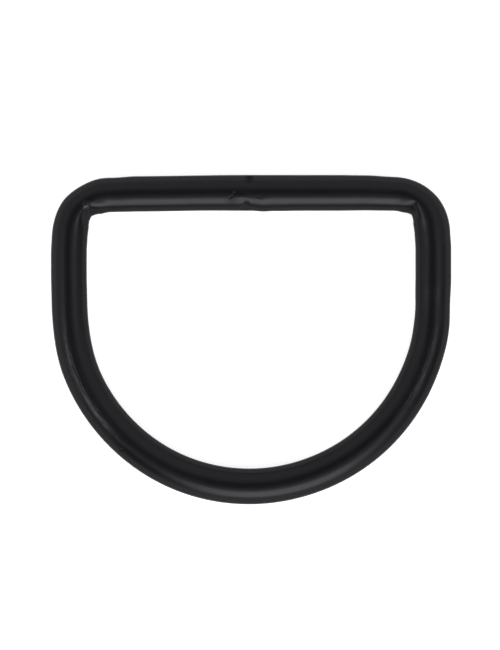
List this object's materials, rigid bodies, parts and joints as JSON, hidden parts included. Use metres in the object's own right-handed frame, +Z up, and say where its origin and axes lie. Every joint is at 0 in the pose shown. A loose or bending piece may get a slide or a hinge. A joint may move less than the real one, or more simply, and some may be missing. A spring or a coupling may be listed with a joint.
{
  "type": "d ring",
  "caption": "Welded wire D ring with a straight bar for a strap and a half-round bow for a hook or clip, in satin black.",
  "frame": {"origin": "on the surface that the ring lies on, under the middle of its box", "axes": "+X along the straight bar, +Y from the bow to the bar, +Z up out of the ring's plane"},
  "size_m": [0.0464, 0.0382, 0.0042],
  "materials": {
    "black_coat": "satin black coat over welded steel wire, faintly uneven, with soft rub marks on the bow"
  },
  "bodies": {
    "root": {"d_ring": "black_coat"}
  },
  "joints": []
}
